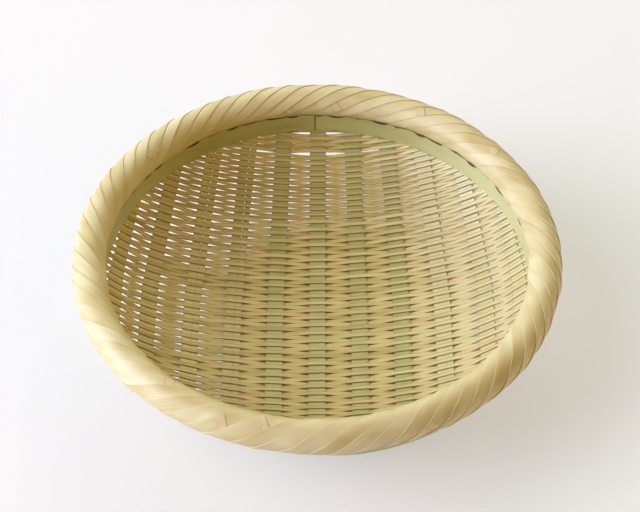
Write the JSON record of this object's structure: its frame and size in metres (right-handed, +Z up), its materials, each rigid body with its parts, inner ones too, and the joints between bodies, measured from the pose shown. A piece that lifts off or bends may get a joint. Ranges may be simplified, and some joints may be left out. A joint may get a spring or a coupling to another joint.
{
  "type": "bamboo basket",
  "caption": "Shallow round zaru basket: flat bamboo warps and fine split-bamboo wefts woven over and under, clamped between two hoops under a rim wound with pale strips.",
  "frame": {"origin": "on the surface that the basket stands on, under the middle of the bowl", "axes": "+Z up through the bowl's open mouth; +Y along the flat warps, towards the back of the picture; +X along the thin wefts, to the right"},
  "size_m": [0.2391, 0.2392, 0.0646],
  "materials": {
    "green_skin": "green bamboo skin, satin",
    "straw_skin": "straw-coloured bamboo skin, satin",
    "straw": "split bamboo, matt",
    "pale": "shaved pale bamboo, satin",
    "hoop_green": "green bamboo skin, satin"
  },
  "bodies": {
    "root": {"warp_01": "straw_skin", "warp_02": "straw_skin", "warp_03": "straw_skin", "warp_04": "green_skin", "warp_05": "green_skin", "warp_06": "green_skin", "warp_07": "green_skin", "warp_08": "green_skin", "warp_09": "straw_skin", "warp_10": "straw_skin", "warp_11": "straw_skin", "weft_01": "straw", "weft_02": "straw", "weft_03": "straw", "weft_04": "straw", "weft_05": "straw", "weft_06": "straw", "weft_07": "straw", "weft_08": "straw", "weft_09": "straw", "rim_wrap_1": "pale", "rim_wrap_2": "pale", "rim_wrap_3": "pale", "rim_wrap_4": "pale", "rim_wrap_5": "pale", "rim_wrap_6": "pale", "rim_wrap_7": "pale", "inner_hoop": "hoop_green", "outer_hoop": "hoop_green", "rim_core": "straw", "front_support": "hoop_green", "back_support": "hoop_green"}
  },
  "joints": []
}
